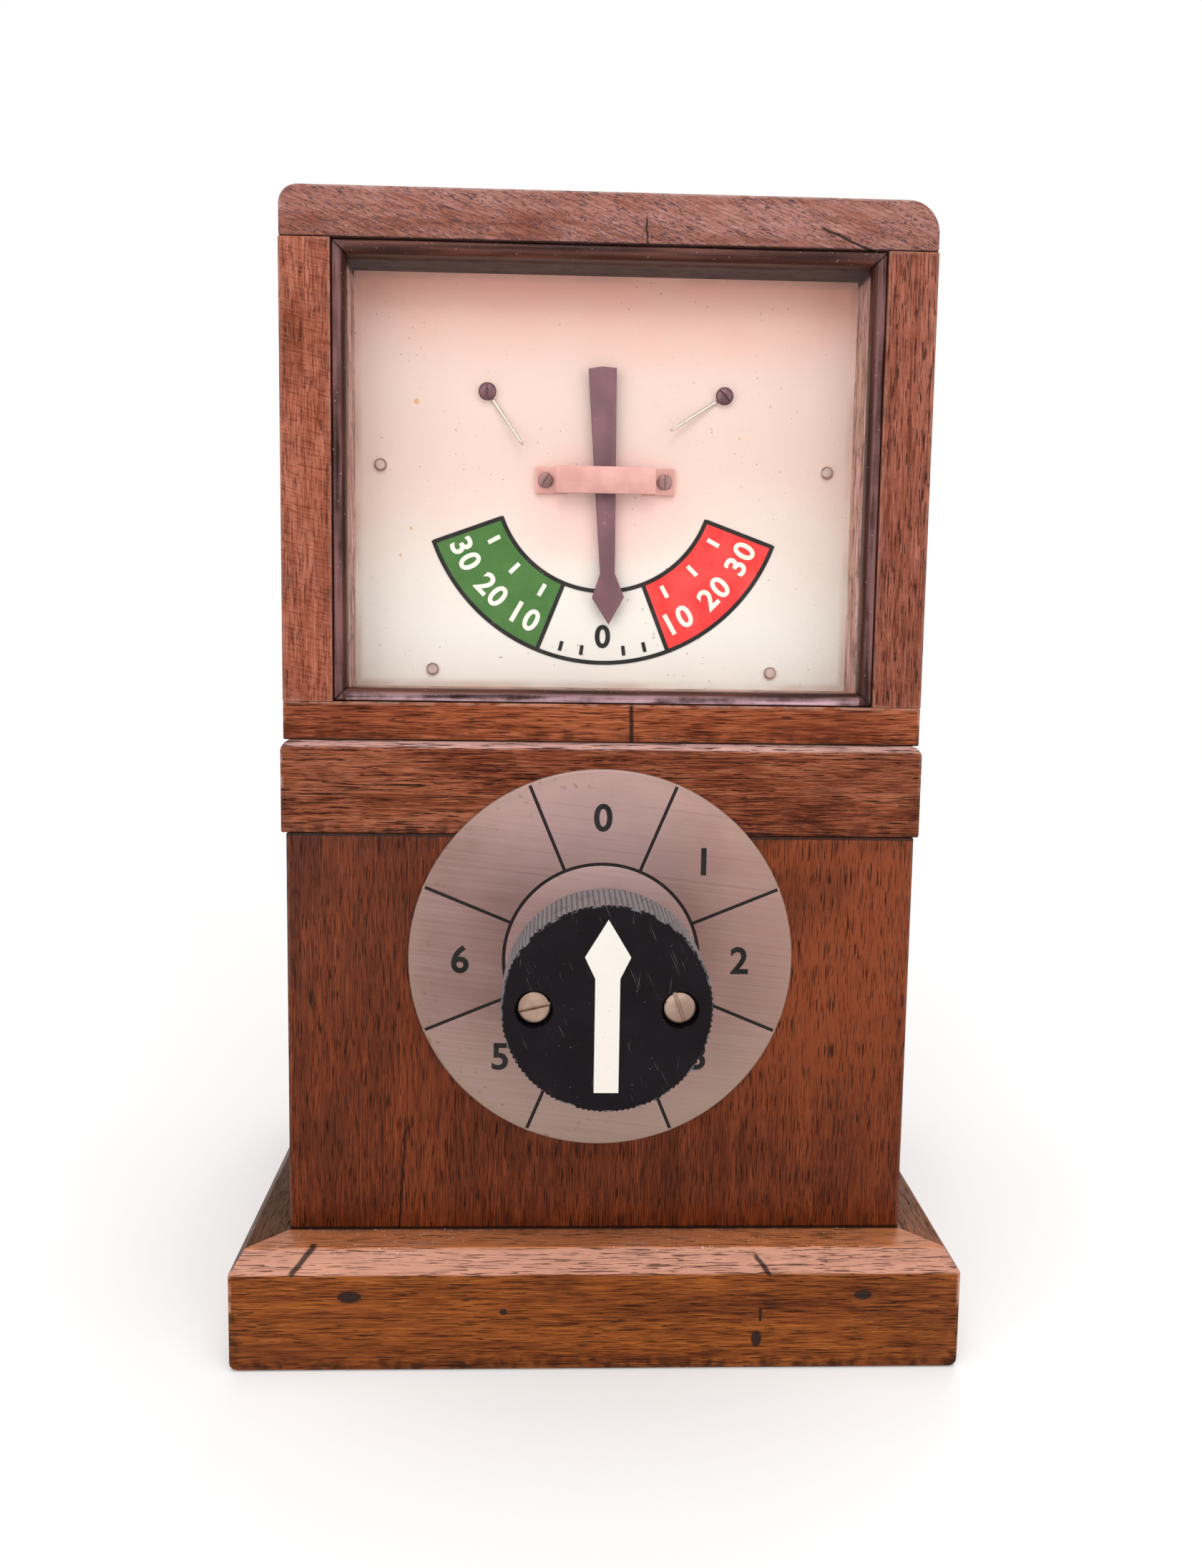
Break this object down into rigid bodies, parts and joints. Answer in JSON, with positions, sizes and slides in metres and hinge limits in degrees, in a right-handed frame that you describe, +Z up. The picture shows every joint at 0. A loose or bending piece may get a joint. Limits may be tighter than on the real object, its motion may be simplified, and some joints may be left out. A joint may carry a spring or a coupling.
{
  "type": "permissive block indicator",
  "caption": "Table-top railway block indicator: two-storey hardwood case, glazed needle dial over a rotary commutator with an arrow knob, hinged rear door.",
  "frame": {"origin": "centre of the underside of the base board and plinth, where the case stands on its shelf", "axes": "+Z up, +X to the right of somebody facing the dial, +Y from the front to the back"},
  "size_m": [0.209, 0.2193, 0.331],
  "materials": {
    "bead_wood": "dark stained moulding",
    "brass": "turned brass",
    "bridge_metal": "milled, satin",
    "bright_steel": "bright",
    "bronze": "aged bronze",
    "case_wood": "polished hardwood, red-brown",
    "clear_glass": "clear",
    "dark_steel": "blued steel",
    "dial_enamel": "cream enamel with painted sectors",
    "ebonite": "black ebonite",
    "inner_wood": "plain softwood, unpolished",
    "ivory": "ivory inlay",
    "magnet_steel": "red lacquered steel with bright pole ends",
    "needle_metal": "blackened metal",
    "nickel_silver": "spring nickel silver",
    "plate_metal": "brushed nickel silver, engraved and filled",
    "plinth_wood": "oiled hardwood, orange-brown",
    "silk_winding": "green silk covered wire",
    "soft_iron": "soft iron",
    "waist_wood": "coarse open grain, red-brown"
  },
  "bodies": {
    "case": {"back_panel_screws": "brass", "base_board": "inner_wood", "bearing_bracket": "brass", "bridge_screws": "dark_steel", "button_screw": "brass", "coil_bobbins": "ebonite", "coil_cores": "soft_iron", "coil_windings": "silk_winding", "commutator_plate": "plate_metal", "contact_fingers": "nickel_silver", "detent_screws": "brass", "detent_spring": "bright_steel", "dial_backing_board": "inner_wood", "dial_liner": "bead_wood", "dial_pins": "bright_steel", "dial_plate": "dial_enamel", "finger_block": "ebonite", "glass": "clear_glass", "glazing_beads": "bead_wood", "hinge_case_leaves": "brass", "horseshoe_magnet": "magnet_steel", "lower_back_rail": "case_wood", "lower_front_panel": "case_wood", "lower_left_side": "case_wood", "lower_right_side": "case_wood", "movement_back_plate": "brass", "movement_pillars": "brass", "needle_bridge": "bridge_metal", "panel_bush": "brass", "plinth_back": "plinth_wood", "plinth_front": "plinth_wood", "plinth_left": "plinth_wood", "plinth_right": "plinth_wood", "rear_pivot_screw": "brass", "stop_screws": "dark_steel", "stop_wires": "bright_steel", "terminal_board": "ebonite", "terminals": "brass", "top_board": "case_wood", "upper_back_panel": "case_wood", "upper_floor_board": "case_wood", "upper_left_side": "case_wood", "upper_right_side": "case_wood", "waist_board": "waist_wood"},
    "needle": {"needle": "needle_metal", "needle_arbor": "bright_steel", "armature": "soft_iron"},
    "commutator": {"commutator_knob": "ebonite", "knob_arrow": "ivory", "knob_screws": "bronze", "commutator_spindle": "brass", "commutator_drum": "ebonite", "contact_segments": "brass", "star_wheel": "brass"},
    "rear_door": {"rear_door": "case_wood", "door_knob": "brass", "hinge_door_leaves": "brass"},
    "turn_button": {"turn_button": "brass"}
  },
  "joints": [
    {"name": "needle_swing", "type": "hinge", "parent": "case", "child": "needle", "pos_m": [0, -0.058, 0.2546], "axis": [0, 1, 0], "range_deg": [-51.5, 43.5]},
    {"name": "commutator_turn", "type": "hinge", "parent": "case", "child": "commutator", "pos_m": [0, -0.08, 0.1165], "axis": [0, 1, 0], "continuous": true, "deforming": ["detent_spring"]},
    {"name": "door_swing", "type": "hinge", "parent": "case", "child": "rear_door", "pos_m": [-0.082, 0.0823, 0.0945], "axis": [0, 0, 1], "range_deg": [0, 175]},
    {"name": "button_turn", "type": "hinge", "parent": "case", "child": "turn_button", "pos_m": [0.086, 0.0815, 0.124], "axis": [0, -1, 0], "range_deg": [0, 90]}
  ]
}
